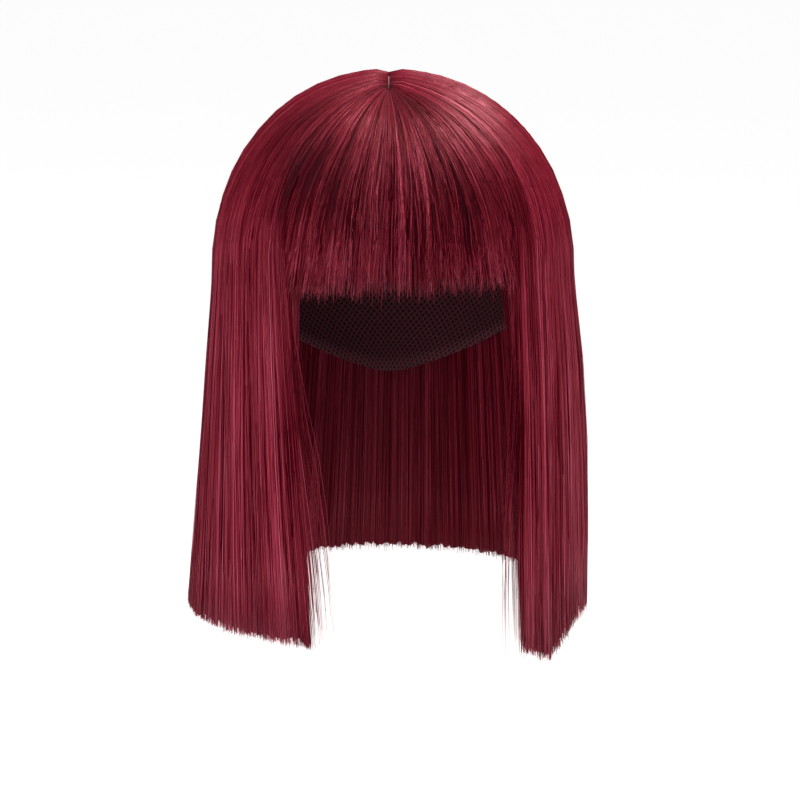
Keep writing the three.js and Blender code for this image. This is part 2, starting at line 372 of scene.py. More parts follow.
@dataclass(frozen=True)
class HairFibre:
    """Drawn synthetic wig fibre, straight and heat set: crimson, with a rosy gloss along its round side.

    Rough and shine go from the dark strands' value to the pale ones', over gloss_tones. Towards the root,
    over root_along, dark strands shine by root_shine. The attribute along grows by 1 over along_length, and
    flecks of fleck_length move a strand's tone by fleck_shift at most.
    """

    name: str = "crimson synthetic hair fibre"
    shades: tuple[tuple[float, str], ...] = (
        (0.0, "200005"),
        (0.25, "4c0210"),
        (0.5, "740a21"),
        (0.75, "942a42"),
        (1.0, "ac5468"),
    )
    gloss: str = "ffaab8"
    rough: tuple[float, float] = (0.6, 0.24)
    shine: tuple[float, float] = (0.03, 0.95)
    gloss_tones: tuple[float, float] = (0.2, 0.62)
    root_shine: float = 0.22
    root_along: tuple[float, float] = (0.3, 0.55)
    along_length: float = 480 * MM
    fleck_length: float = 40 * MM
    fleck_tones: float = 5.0
    fleck_range: tuple[float, float] = (0.3, 0.7)
    fleck_shift: float = 0.08

    def material(self) -> bpy.types.Material:
        """The finish: each strand's tone, with its painted shade and light, through a crimson ramp, with slow
        flecks along the strand.

        Paler strands are smoother and shine more than dark ones, so the gloss breaks up into single hairs.

        Returns:
            The material.
        """
        made, tree = new_material(self.name)
        tone = add_node(tree, "ShaderNodeAttribute", {}, attribute_name="tone")
        along = add_node(tree, "ShaderNodeAttribute", {}, attribute_name="along")
        place = add_node(tree, "ShaderNodeCombineXYZ", {"X": along.outputs["Fac"], "Y": tone.outputs["Fac"]})
        scale = (self.along_length / self.fleck_length, self.fleck_tones, 1.0)
        stretch = add_node(tree, "ShaderNodeMapping", {"Vector": place.outputs["Vector"], "Scale": scale})
        fleck = add_node(tree, "ShaderNodeTexNoise", {"Vector": stretch.outputs["Vector"], "Scale": 1.0})
        shift = add_node(
            tree,
            "ShaderNodeMapRange",
            {
                "Value": fleck.outputs["Fac"],
                "From Min": self.fleck_range[0],
                "From Max": self.fleck_range[1],
                "To Min": -self.fleck_shift,
                "To Max": self.fleck_shift,
            },
        )
        shade = add_node(
            tree, "ShaderNodeMath", {0: tone.outputs["Fac"], 1: shift.outputs["Result"]}, operation="ADD"
        )
        ramp = add_ramp(tree, shade.outputs["Value"], self.shades)
        dull = add_node(
            tree,
            "ShaderNodeMapRange",
            {
                "Value": along.outputs["Fac"],
                "From Min": self.root_along[0],
                "From Max": self.root_along[1],
                "To Min": self.root_shine,
                "To Max": self.shine[0],
            },
        )
        rough, shine = (
            add_node(
                tree,
                "ShaderNodeMapRange",
                {
                    "Value": shade.outputs["Value"],
                    "From Min": self.gloss_tones[0],
                    "From Max": self.gloss_tones[1],
                    "To Min": dark,
                    "To Max": pale,
                },
            )
            for dark, pale in (self.rough, (dull.outputs["Result"], self.shine[1]))
        )
        finish_shader(
            tree,
            {
                "Base Color": ramp.outputs["Color"],
                "Roughness": rough.outputs["Result"],
                "Specular IOR Level": shine.outputs["Result"],
                "Specular Tint": linear(self.gloss),
            },
        )
        return made


@dataclass(frozen=True)
class PackedHair:
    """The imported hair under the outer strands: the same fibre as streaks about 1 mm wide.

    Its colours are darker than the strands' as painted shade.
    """

    name: str = "packed crimson hair"
    shades: tuple[tuple[float, str], ...] = ((0.25, "260207"), (0.5, "46060f"), (0.75, "5e0c1c"))
    gloss: str = "ff8a9c"
    roughness: float = 0.55
    specular: float = 0.2
    streak: float = 0.9 * MM
    streak_length: float = 90 * MM
    relief: float = 0.4 * MM
    bump: float = 0.8

    def material(self) -> bpy.types.Material:
        """The finish: noise stretched along the comb colours and raises the streaks.

        Returns:
            The material.
        """
        made, tree = new_material(self.name)
        place = add_node(tree, "ShaderNodeUVMap", {}, uv_map="Comb")
        stretch = add_node(
            tree,
            "ShaderNodeMapping",
            {"Vector": place.outputs["UV"], "Scale": (1 / self.streak, 1 / self.streak_length, 1.0)},
        )
        streaks = add_node(
            tree, "ShaderNodeTexNoise", {"Vector": stretch.outputs["Vector"], "Scale": 1.0, "Detail": 3.0}
        )
        ramp = add_ramp(tree, streaks.outputs["Fac"], self.shades)
        bump = add_node(
            tree,
            "ShaderNodeBump",
            {"Height": streaks.outputs["Fac"], "Strength": self.bump, "Distance": self.relief},
        )
        finish_shader(
            tree,
            {
                "Base Color": ramp.outputs["Color"],
                "Roughness": self.roughness,
                "Specular IOR Level": self.specular,
                "Specular Tint": linear(self.gloss),
                "Normal": bump.outputs["Normal"],
            },
        )
        return made


@dataclass(frozen=True)
class CapNet:
    """Knitted elastic nylon net, dark red-brown and matt, with a diamond mesh about 2.5 mm across.

    The wave texture repeats every wave_period at scale 1, so that scale gives one wave a mesh.
    """

    name: str = "dark elastic cap net"
    hole: str = "16070b"
    thread: str = "4a1e27"
    roughness: float = 0.85
    specular: float = 0.2
    mesh_size: float = 2.5 * MM
    wave_period: float = 0.314
    wobble: float = 0.6
    relief: float = 0.4 * MM
    bump: float = 0.7

    def material(self) -> bpy.types.Material:
        """The finish: two crossed waves make the threads, which are paler and raised.

        Returns:
            The material.
        """
        made, tree = new_material(self.name)
        place = add_node(tree, "ShaderNodeUVMap", {}, uv_map="Comb")
        waves = []
        for turn in (np.pi / 4, -np.pi / 4):
            turned = add_node(
                tree,
                "ShaderNodeMapping",
                {"Vector": place.outputs["UV"], "Rotation": (0, 0, turn), "Scale": (1 / self.mesh_size,) * 3},
            )
            waves.append(
                add_node(
                    tree,
                    "ShaderNodeTexWave",
                    {
                        "Vector": turned.outputs["Vector"],
                        "Scale": self.wave_period,
                        "Distortion": self.wobble,
                        "Detail": 1.0,
                    },
                )
            )
        threads = add_node(
            tree,
            "ShaderNodeMath",
            {0: waves[0].outputs["Fac"], 1: waves[1].outputs["Fac"]},
            operation="MAXIMUM",
        )
        ramp = add_ramp(tree, threads.outputs["Value"], ((0.45, self.hole), (0.9, self.thread)))
        bump = add_node(
            tree,
            "ShaderNodeBump",
            {"Height": threads.outputs["Value"], "Strength": self.bump, "Distance": self.relief},
        )
        finish_shader(
            tree,
            {
                "Base Color": ramp.outputs["Color"],
                "Roughness": self.roughness,
                "Specular IOR Level": self.specular,
                "Normal": bump.outputs["Normal"],
            },
        )
        return made


@dataclass(frozen=True)
class PartingSkin:
    """Fine pale polyurethane strip on gauze, matt, with a grain of about 0.8 mm."""

    name: str = "pale parting strip"
    pale: str = "dcb4a8"
    rosy: str = "b87c76"
    roughness: float = 0.7
    grain: float = 0.8 * MM
    relief: float = 0.1 * MM
    bump: float = 0.3

    def material(self) -> bpy.types.Material:
        """The finish: fine noise on Object coordinates mixes the pale and rosy colours.

        Returns:
            The material.
        """
        made, tree = new_material(self.name)
        place = add_node(tree, "ShaderNodeTexCoord", {})
        grain = add_node(
            tree,
            "ShaderNodeTexNoise",
            {"Vector": place.outputs["Object"], "Scale": 1 / self.grain, "Detail": 2.0},
        )
        ramp = add_ramp(tree, grain.outputs["Fac"], ((0.35, self.rosy), (0.6, self.pale)))
        bump = add_node(
            tree,
            "ShaderNodeBump",
            {"Height": grain.outputs["Fac"], "Strength": self.bump, "Distance": self.relief},
        )
        finish_shader(
            tree,
            {
                "Base Color": ramp.outputs["Color"],
                "Roughness": self.roughness,
                "Normal": bump.outputs["Normal"],
            },
        )
        return made


def make_piece(
    name: str,
    vertices: Array,
    quads: Array,
    triangles: Array,
    maps: dict[str, Array],
    numbers: dict[str, Array],
    material: bpy.types.Material,
) -> bpy.types.Object:
    """Puts arrays into a smooth-shaded mesh object at the origin.

    Args:
        name: the piece's name.
        vertices: points, one row each.
        quads: four corner numbers a row.
        triangles: three corner numbers a row, or none.
        maps: UV map name to a UV pair for every vertex.
        numbers: attribute name to a number for every vertex.
        material: the piece's finish.

    Returns:
        The object.
    """
    mesh = bpy.data.meshes.new(name)
    corners = np.concatenate([quads.ravel(), triangles.ravel()]).astype(np.int32)
    starts = np.concatenate([np.arange(len(quads)) * 4, len(quads) * 4 + np.arange(len(triangles)) * 3])
    mesh.vertices.add(len(vertices))
    mesh.vertices.foreach_set("co", np.ascontiguousarray(vertices, np.float32).ravel())
    mesh.loops.add(len(corners))
    mesh.loops.foreach_set("vertex_index", corners)
    mesh.polygons.add(len(starts))
    mesh.polygons.foreach_set("loop_start", starts.astype(np.int32))
    mesh.polygons.foreach_set("use_smooth", np.ones(len(starts), bool))
    mesh.update(calc_edges=True)
    for label, places in maps.items():
        layer = mesh.uv_layers.new(name=label)
        layer.data.foreach_set("uv", np.ascontiguousarray(places[corners], np.float32).ravel())
    for label, values in numbers.items():
        mesh.attributes.new(label, "FLOAT", "POINT").data.foreach_set("value", values.astype(np.float32))
    mesh.validate()
    mesh.materials.append(material)
    made = bpy.data.objects.new(name, mesh)
    bpy.context.collection.objects.link(made)
    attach(made, "root")
    LOG.info("%s: %d triangles", name, len(quads) * 2 + len(triangles))
    return made


def quad_run(a: Array, b: Array, c: Array, d: Array) -> Array:
    """Quads from four equal runs of corner numbers."""
    return np.stack([a, b, c, d], -1).reshape(-1, 4)


def shell_faces(columns: int, rows: int) -> Array:
    """Corner numbers of the quads that close a shell between two grids of points.

    The outer grid comes first, each grid row by row. The outer face looks out, the inner face in, and
    four walls join their edges.

    Args:
        columns: columns of faces, along the azimuth.
        rows: rows of faces, down the comb.

    Returns:
        Four corner numbers a row.
    """
    outer, inner = np.arange(2 * (rows + 1) * (columns + 1)).reshape(2, rows + 1, columns + 1)
    return np.concatenate(
        [
            quad_run(outer[:-1, :-1], outer[1:, :-1], outer[1:, 1:], outer[:-1, 1:]),
            quad_run(inner[:-1, :-1], inner[:-1, 1:], inner[1:, 1:], inner[1:, :-1]),
            quad_run(outer[-1, :-1], inner[-1, :-1], inner[-1, 1:], outer[-1, 1:]),
            quad_run(outer[0, :-1], outer[0, 1:], inner[0, 1:], inner[0, :-1]),
            quad_run(outer[:-1, 0], inner[:-1, 0], inner[1:, 0], outer[1:, 0]),
            quad_run(outer[:-1, -1], outer[1:, -1], inner[1:, -1], inner[:-1, -1]),
        ]
    )


@dataclass
class Strands:
    """A set of strands of one kind, one row each, before they are laid on a mass.

    The share is the place across the mass, the offset a strand's way from its clump's middle, the sway its
    sideways way at the tip, the depth its distance inside the outer face, the level its share of the way
    from the outer to the inner face, the cut the height of its tip above the mass's cut, and the phase moves
    the flecks of its colour along it. The bend is the share of its length over which the sway comes in, and
    the weave is its own small way inwards and sideways at each of its points.
    """

    runs: Array
    share: Array
    offset: Array
    sway: Array
    depth: Array
    level: Array
    cut: Array
    tone: Array
    phase: Array
    radius: Array
    bend: tuple[float, float] = (0.25, 1.0)
    weave: Array = field(default_factory=lambda: np.zeros((2, 1, 1)))


def strand_mesh(paths: Array, outward: Array, radius: Array) -> tuple[Array, Array, Array]:
    """Closed three-sided tubes along many paths, each with its ridge outwards.

    A ring of three points stands round every path point, at 120 degrees from each other, in the plane
    across the path. Rings are joined by quads, and a triangle closes each end.

    Args:
        paths: strands by points by 3.
        outward: the way that the ridge looks, in the same shape.
        radius: strands by points.

    Returns:
        Vertices, quads and triangles.
    """
    count, points = paths.shape[:2]
    along = unit(np.gradient(paths, axis=1))
    side = unit(np.cross(along, outward))
    ridge = np.cross(side, along)
    turn = np.radians([-30.0, 90.0, 210.0])
    ring = np.cos(turn)[:, None] * side[:, :, None, :] + np.sin(turn)[:, None] * ridge[:, :, None, :]
    vertices = (paths[:, :, None, :] + radius[:, :, None, None] * ring).reshape(-1, 3)
    at = np.arange(count * points * 3).reshape(count, points, 3)
    after = np.roll(at, -1, axis=2)
    quads = quad_run(at[:, :-1], at[:, 1:], after[:, 1:], after[:, :-1])
    triangles = np.concatenate([at[:, 0], at[:, -1, ::-1]])
    return vertices, quads, triangles


@dataclass
class HairMass:
    """One combed mass of hair: a closed body, the strands that cover it and the loose hair at its edges.

    Two numbers for a range are its ends, a band is a width as a share of the mass, and a way is a share of a
    strand's length.
    """

    mass: Mass
    span: Span
    form: WigForm
    seed: int
    clumps: int
    strands_per_clump: int
    end_strands: int = 1200
    inner_strands: int = 300
    edge_strands: int = 220
    wisps: int = 70
    loose_hairs: int = 26
    free_edge: FreeEdge = FreeEdge.NONE
    shades_and_hollows: tuple[PaintedShadeAndHollow, ...] = ()
    body_span: Span | None = None
    # The outer face: broad and fine locks, the thin gaps between them and the parting's groove.
    lock_spacing: float = 6.5
    lock_relief: float = 0.7 * MM
    lock_run: float = 0.8
    fine_locks: float = 3.0
    fine_height: float = 0.45
    fine_run: float = 0.5
    gap_lines: float = 2.6
    gap_breaks: float = 2.0
    gap_run: float = 0.35
    gap_open: float = 0.35
    gap_width: float = 0.09
    gap_depth: float = 0.7 * MM
    relief_runs: tuple[float, float] = (0.08, 0.6)
    groove: float = 1.6 * MM
    groove_run: float = 0.04
    dip_share: float = 0.35
    # Sides that pass under their neighbours.
    edge_sink: float = 0.0
    sink_band: float = 0.06
    sink_runs: tuple[float, float] = (0.55, 0.95)
    overlap: float = 0.0
    # The body: its room over the cap, its ragged ends and its thinning to the free edge.
    body_depth: float = 1.7 * MM
    body_short: float = 2.2 * MM
    body_ragged: float = 0.8 * MM
    body_ridge: float = 0.22 * MM
    body_margin: float = 1.2 * MM
    body_gap: float = 1.2 * MM
    body_dip: float = 3.0
    side_room: float = 0.3 * MM
    top_room: float = 0.2 * MM
    root_depth: float = 2.9 * MM
    tip_thickness: float = 8 * MM
    thin_share: float = 0.4
    thin_band: float = 0.28
    thin_hang: float = 0.5
    comb_length: float = 150 * MM
    columns: int = 160
    rows: int = 26
    # Long strands: their clumps, layers, sway, weave and cut, and the comb of the free edge.
    clump_jitter: tuple[float, float] = (0.1, 0.9)
    clump_width: float = 1.7 * MM
    clump_widths: tuple[float, float] = (0.5, 1.5)
    clump_sway: float = 2.2 * MM
    strand_sway: float = 2.0 * MM
    strand_radius: float = 0.17 * MM
    strand_radii: tuple[float, float] = (0.75, 1.25)
    layer_depth: float = 1.0 * MM
    clump_round: float = 0.35 * MM
    depth_scatter: float = 0.3 * MM
    weave_depth: float = 0.28 * MM
    weave_side: float = 0.4 * MM
    weave_runs: tuple[float, float] = (0.1, 0.5)
    feather: float = 6 * MM
    feather_band: float = 0.08
    feather_runs: tuple[float, float] = (0.3, 0.95)
    cut_spread: float = 1.1 * MM
    thinned_share: float = 0.05
    thinned_length: float = 12 * MM
    tip_gather: float = 0.85
    gather_ways: tuple[float, float] = (0.3, 1.0)
    tip_width: float = 0.4
    tip_ways: tuple[float, float] = (0.92, 1.0)
    root_width: float = 0.6
    root_runs: tuple[float, float] = (0.0, 0.2)
    root_gap: tuple[float, float] = (0.1 * MM, 0.5 * MM)
    root_step: float = 0.045
    root_scatter: float = 0.012
    dome_steps: int = 13
    hang_steps: tuple[float, ...] = (1.26, 1.53, 1.79, 2.0)
    # Short strands at the ends, on the inner face and at the free edge, and loose hair.
    ends_from: float = 1.8
    end_rows: int = 4
    end_depth: float = 0.3 * MM
    inner_from: float = 1.0
    inner_rows: int = 6
    edge_from: float = 0.9
    edge_rows: int = 7
    edge_width: float = 0.02
    start_scatter: float = 0.05
    short_sway: float = 0.8 * MM
    short_cut: float = 1.1
    short_radii: tuple[float, float] = (0.7, 1.1)
    wisp_sway: float = 14 * MM
    wisp_gathers: tuple[float, ...] = (0.25, 0.45, 0.62, 0.95)
    wisp_odds: tuple[float, ...] = (0.4, 0.28, 0.2, 0.12)
    wisp_runs: tuple[float, ...] = (0.8, 0.95, 1.1, 1.3, 1.5, 1.68, 1.84, 2.0)
    loose_sway: float = 10 * MM
    loose_rows: int = 24
    # Tones: a strand's own and its clump's, painted glints, and the painted shade of deeper layers, the ends,
    # the inner face, calm places, valleys, gaps and the free edge.
    tone: float = 0.5
    tone_spread: float = 0.07
    strand_tone_spread: float = 0.19
    layer_shade: float = 0.16
    glint_share: float = 0.04
    glint: float = 0.1
    short_shade: float = 0.04
    short_tone_spread: float = 0.16
    inner_shade: float = 0.2
    calm_shade: float = 0.04
    calm_locks: float = 0.6
    valley_shade: float = 0.06
    gap_shade: float = 0.22
    edge_shade: float = 0.0
    edge_band: float = 0.09
    edge_shade_from: float = 0.7
    edge_shade_in: float = 0.3
    edge_shade_to: float = 1.4
    edge_shade_out: float = 0.35
    tone_limits: tuple[float, float] = (0.02, 0.98)
    along_run: float = 0.35
    along_phase: float = 0.3
    along_limits: tuple[float, float] = (0.01, 0.99)
    bake_width: float = 0.002
    width: float = field(init=False)
    rng: np.random.Generator = field(init=False)

    def __post_init__(self) -> None:
        """Works out the mass's width along the temple oval and starts its random source."""
        share = np.linspace(0, 1, 200)
        line = self.form.place(self.span.azimuth(share, 0.0), 1.0, 0.0, 0.0, 0.0, 0.0)
        self.width = float(np.linalg.norm(np.diff(line, axis=0), axis=1).sum())
        self.rng = np.random.default_rng(self.seed)

    def locks(self, share: Array, run: Array) -> tuple[Array, Array]:
        """Height of the locks and strength of the thin gaps between them.

        The height is a broad random wave and a finer one, both stretched along the comb. A gap runs where a
        third wave, of the share alone, passes zero, and it opens and closes along the comb.

        Args:
            share: place across the mass.
            run: place along the comb line.

        Returns:
            The height, about -1 to 1, and the gap, 0 to 1.
        """
        rng = np.random.default_rng(self.seed + 1000)
        column = share * abs(self.span.stop - self.span.start) / self.lock_spacing
        height = wander(column, run / self.lock_run, rng)
        height = height + self.fine_height * wander(self.fine_locks * column, run / self.fine_run, rng)
        line = wander(self.gap_lines * column, np.zeros_like(run), rng)
        opened = np.clip(self.gap_open + wander(self.gap_breaks * column, run / self.gap_run, rng), 0, 1)
        return height, np.exp(-((line / self.gap_width) ** 2)) * opened

    def relief(self, share: Array, run: Array) -> Array:
        """Height of the hair's outer face over the main form: the locks less their gaps, none at the root."""
        height, gap = self.locks(share, run)
        return (self.lock_relief * height - self.gap_depth * gap) * smooth(run, *self.relief_runs)

    def dip(self, run: Array, depth: Array) -> Array:
        """Depth below the crown: the parting's groove near the root, then a third of the strand's depth."""
        return self.groove * (1 - smooth(run, 0.0, self.groove_run)) + self.dip_share * depth

    def at_edge(self, share: Array, band: float) -> Array:
        """Bell over the share, 1 at the free edge and nothing a few bands away from it."""
        return np.exp(-(((share - self.free_edge.value) / band) ** 2))

    def thickness(self, azimuth: Array, share: Array, run: Array) -> Array:
        """Distance of the inner face from the outer face.

        It leaves room for the cap on the dome, then thins to the ends, and to thin_share of that at the free
        edge.

        Args:
            azimuth: direction of the comb line.
            share: place across the mass.
            run: place along the comb line.

        Returns:
            The distance.
        """
        hang = np.clip(run - 1, 0, 1)
        full = self.form.cap_inset(azimuth) - self.form.cap_wall - self.form.cap_seat_gap - self.side_room
        near = np.abs(share - self.free_edge.value)
        edge = blend(self.thin_share, 1.0, smooth(near, 0.0, self.thin_band))
        return blend(full, self.tip_thickness, hang) * blend(1.0, edge, smooth(hang, 0.0, self.thin_hang))

    def sink(self, azimuth: Array, share: Array, run: Array) -> Array:
        """Depth of the hollows at a place, and of sunken sides where they pass under their neighbours."""
        under = np.exp(-((np.minimum(share, 1 - share) / self.sink_band) ** 2)) * smooth(run, *self.sink_runs)
        return self.edge_sink * under + sum(h.depth * h.share(azimuth, run) for h in self.shades_and_hollows)

    def calm(self, azimuth: Array, run: Array) -> Array:
        """How far the strands' own tones draw together at a place, 0 to 1."""
        return np.clip(sum(h.calm * h.share(azimuth, run) for h in self.shades_and_hollows), 0.0, 1.0)

    def shade(self, azimuth: Array, share: Array, run: Array) -> Array:
        """How much painted shade the hair's tone takes, less the painted light.

        Shade is painted in the hollows, in the gaps and valleys between locks, and where the hair turns in at
        the free edge; patches with a negative shade and the ridges of the locks take painted light. The locks
        show less where the tones are calm.

        Args:
            azimuth: direction of the comb line.
            share: place across the mass.
            run: place along the comb line.

        Returns:
            The share of tone to take off.
        """
        height, gap = self.locks(share, run)
        locks = self.gap_shade * gap - self.valley_shade * height
        dark = locks * (1 - self.calm_locks * self.calm(azimuth, run))
        dark = dark + sum(h.shade * h.share(azimuth, run) for h in self.shades_and_hollows)
        turned = smooth(run, self.edge_shade_from, self.edge_shade_from + self.edge_shade_in)
        turned = turned * (1 - smooth(run, self.edge_shade_to, self.edge_shade_to + self.edge_shade_out))
        return dark + self.edge_shade * self.at_edge(share, self.edge_band) * turned

    def rows_for(self, count: int, runs: Array) -> Array:
        """The same rows of runs for every one of count strands."""
        return np.broadcast_to(runs, (count, len(runs))).copy()

    def outer_strands(self) -> Strands:
        """Strands from the parting to the ends, gathered in clumps.

        A clump's strands share its place, sway, tone and cut. Each keeps its own offset in the clump, which
        narrows to the tip, and sits deeper the further it lies from the clump's middle.

        Returns:
            The strands.
        """
        rng, clumps, each = self.rng, self.clumps, self.strands_per_clump
        count = clumps * each
        clump = np.repeat(np.arange(clumps), each)
        middle = (np.arange(clumps) + rng.uniform(*self.clump_jitter, clumps)) / clumps
        middle = blend(-self.overlap, 1 + self.overlap, middle)
        broad = self.clump_width * rng.uniform(*self.clump_widths, clumps)
        lift = rng.permutation(clumps) / clumps
        offset = np.clip(rng.normal(0.0, 0.5, count), -1.3, 1.3)
        cut = (rng.normal(0.0, 0.7, clumps)[clump] + rng.normal(0.0, 0.8, count)) * self.cut_spread
        thinned = (rng.uniform(0, 1, count) < self.thinned_share) * rng.uniform(0, 1, count)
        cut += thinned * self.thinned_length
        tone = self.tone + rng.normal(0.0, self.tone_spread, clumps)[clump]
        # Deeper layers take painted shade, and a few strands take a painted glint.
        tone += rng.normal(0.0, self.strand_tone_spread, count) - self.layer_shade * lift[clump]
        tone += (rng.uniform(0, 1, count) < self.glint_share) * self.glint
        dome = np.linspace(0.0, 1.0, self.dome_steps)[1:]
        runs = self.rows_for(count, np.concatenate([[0.0, self.root_step], dome, self.hang_steps]))
        runs[:, :1] += rng.uniform(0.0, self.root_scatter, (count, 1))
        weave = rng.normal(0.0, 1.0, (2, *runs.shape)) * smooth(runs, *self.weave_runs)
        for _ in range(2):
            weave[..., 1:-1] = (weave[..., :-2] + 2 * weave[..., 1:-1] + weave[..., 2:]) / 3
        weave *= np.array([self.weave_depth, self.weave_side])[:, None, None]
        if self.free_edge is not FreeEdge.NONE:
            comb = self.feather * rng.uniform(0, 1, clumps) * self.at_edge(middle, self.feather_band)
            upper = 1 - smooth(runs, *self.feather_runs)
            weave[1] += self.free_edge.way_over() * comb[clump][:, None] * upper
        sway = rng.normal(0.0, self.clump_sway, clumps)[clump] + rng.normal(0.0, self.strand_sway, count)
        depth = lift[clump] * self.layer_depth + self.clump_round * offset**2
        return Strands(
            runs=runs,
            share=middle[clump],
            offset=offset * 0.5 * broad[clump],
            sway=sway,
            depth=depth + rng.uniform(0.0, self.depth_scatter, count),
            level=np.zeros(count),
            cut=cut,
            tone=tone,
            phase=rng.uniform(0.0, 1.0, clumps)[clump],
            radius=self.strand_radius * rng.uniform(*self.strand_radii, count),
            weave=weave,
        )

    def short_strands(self, first: float, near: Array, level: Array, rows: int) -> Strands:
        """Strands that show only below a run, for the ends, the inner face and the edge.

        Args:
            first: the run where they start.
            near: place of each across the mass.
            level: share of each from the outer to the inner face.
            rows: points of each.

        Returns:
            The strands.
        """
        rng, count = self.rng, len(near)
        runs = self.rows_for(count, np.linspace(first, 2.0, rows))
        runs[:, 0] += rng.uniform(-self.start_scatter, self.start_scatter, count)
        weave = np.zeros((2, count, rows))
        weave[0, :, 0] = self.body_depth * (1 - 2 * level)
        # Painted shade: the ends are a little darker and the inner face more so.
        tone = self.tone - self.short_shade - self.inner_shade * level
        return Strands(
            runs=runs,
            share=near,
            offset=np.zeros(count),
            sway=rng.normal(0.0, self.short_sway, count),
            depth=np.full(count, self.end_depth),
            level=level,
            cut=rng.normal(0.0, self.short_cut, count) * self.cut_spread,
            tone=tone + rng.normal(0.0, self.short_tone_spread, count),
            phase=rng.uniform(0.0, 1.0, count),
            radius=self.strand_radius * rng.uniform(*self.short_radii, count),
            weave=weave,
        )

    def wisp_strands(self) -> Strands:
        """Thin hair that leaves the free edge and hangs into the front opening.

        Returns:
            The strands.
        """
        rng, count = self.rng, self.wisps
        reach = self.free_edge.way_over() * self.wisp_sway
        gather = rng.choice(self.wisp_gathers, count, p=self.wisp_odds)
        return Strands(
            runs=self.rows_for(count, np.array(self.wisp_runs)),
            share=np.abs(self.free_edge.value - rng.uniform(0.0, self.edge_width, count)),
            offset=np.zeros(count),
            sway=reach * (gather + rng.normal(0.0, 0.05, count)),
            depth=np.full(count, 0.4 * MM),
            level=rng.uniform(0.0, 1.0, count),
            cut=rng.exponential(16 * MM, count) - 5 * MM,
            tone=0.4 + rng.normal(0.0, 0.15, count),
            phase=rng.uniform(0.0, 1.0, count),
            radius=0.11 * MM * rng.uniform(0.8, 1.3, count),
            bend=(0.55, 0.92),
        )

    def loose_strands(self) -> Strands:
        """Single hairs that stand a little off the outer face.

        Returns:
            The strands.
        """
        rng, count = self.rng, self.loose_hairs
        runs = self.rows_for(count, np.linspace(0.0, 2.0, self.loose_rows))
        return Strands(
            runs=runs * rng.uniform(0.94, 0.98, (count, 1)) + 0.04,
            share=rng.uniform(0.0, 1.0, count),
            offset=np.zeros(count),
            sway=rng.normal(0.0, self.loose_sway, count),
            depth=-rng.uniform(-0.4, 0.3, count) * MM,
            level=np.zeros(count),
            cut=rng.uniform(-3, 12, count) * MM,
            tone=0.5 + rng.normal(0.0, 0.12, count),
            phase=rng.uniform(0.0, 1.0, count),
            radius=0.1 * MM * rng.uniform(0.8, 1.2, count),
        )

    def lay(self, strands: Strands) -> tuple[Array, Array, Array, Array, Array]:
        """Lays strands on the mass and makes their tubes.

        Args:
            strands: the set to lay.

        Returns:
            Vertices, quads, triangles, tones and places along the strand, the last two for every vertex.
        """
        run = strands.runs
        way = self.span.way(run)
        gather = blend(1.0, self.tip_gather, smooth(way, *self.gather_ways))
        across = strands.offset[:, None] * gather + strands.sway[:, None] * smooth(way, *strands.bend)
        across = across + strands.weave[1]
        bare = strands.share[:, None] + across / self.width
        share = np.clip(bare, 0.0, 1.0)
        foot = self.form.foot(self.span.azimuth(bare, self.span.way(1.0)))
        full = self.span.end(share)
        end = np.minimum(full + strands.cut[:, None], foot - LEAST_HANG)
        azimuth = self.span.azimuth(bare, self.span.way(run, (foot - end) / (foot - full)))
        level = strands.level[:, None]
        lie = self.sink(azimuth, share, run) - self.relief(share, run)
        inset = strands.depth[:, None] + strands.weave[0] + lie * (1 - level)
        inset = inset + level * self.thickness(azimuth, share, run)
        end = np.minimum(end, self.form.foot(azimuth) - LEAST_HANG)
        gap = self.rng.uniform(*self.root_gap, (len(run), 1))
        dip = self.dip(run, np.maximum(strands.depth[:, None], 0))
        paths = self.form.place(azimuth, run, inset, dip, gap, end)
        inside = self.form.place(azimuth, run, inset + PROBE, dip + PROBE, gap, end)
        outward = unit(paths - inside) * np.where(level > 0.5, -1.0, 1.0)[..., None]
        taper = blend(1.0, self.tip_width, smooth(way, *self.tip_ways))
        taper = taper * blend(self.root_width, 1.0, smooth(run, *self.root_runs))
        vertices, quads, triangles = strand_mesh(paths, outward, strands.radius[:, None] * taper)
        # Painted shade and light: calm places draw to a slightly darker tone, then shade() takes the painted
        # shade off.
        tones = blend(strands.tone[:, None], self.tone - self.calm_shade, self.calm(azimuth, run))
        tones = np.clip(tones - self.shade(azimuth, share, run), *self.tone_limits)
        along = np.clip(self.along_run * run + self.along_phase * strands.phase[:, None], *self.along_limits)
        return vertices, quads, triangles, np.repeat(tones.ravel(), 3), np.repeat(along.ravel(), 3)

    def build_strands(self, label: str, sets: list[Strands], finish: bpy.types.Material) -> bpy.types.Object:
        """Makes one piece of several sets of strands.

        The map OFBake holds the way along the strand and the strand's tone, so strands of one tone share a
        line of it.

        Args:
            label: what the piece holds.
            sets: the sets of strands.
            finish: the fibre's material.

        Returns:
            The object.
        """
        parts = [self.lay(strands) for strands in sets]
        starts = np.cumsum([0] + [len(part[0]) for part in parts])
        vertices = np.concatenate([part[0] for part in parts])
        quads = np.concatenate([part[1] + start for part, start in zip(parts, starts)])
        triangles = np.concatenate([part[2] + start for part, start in zip(parts, starts)])
        tones = np.concatenate([part[3] for part in parts])
        along = np.concatenate([part[4] for part in parts])
        side = np.tile([-self.bake_width, 0.0, self.bake_width], len(vertices) // 3)
        maps = {"OFBake": np.stack([along, tones + side], -1)}
        numbers = {"tone": tones, "along": along}
        return make_piece(f"{self.mass.value}_{label}", vertices, quads, triangles, maps, numbers, finish)

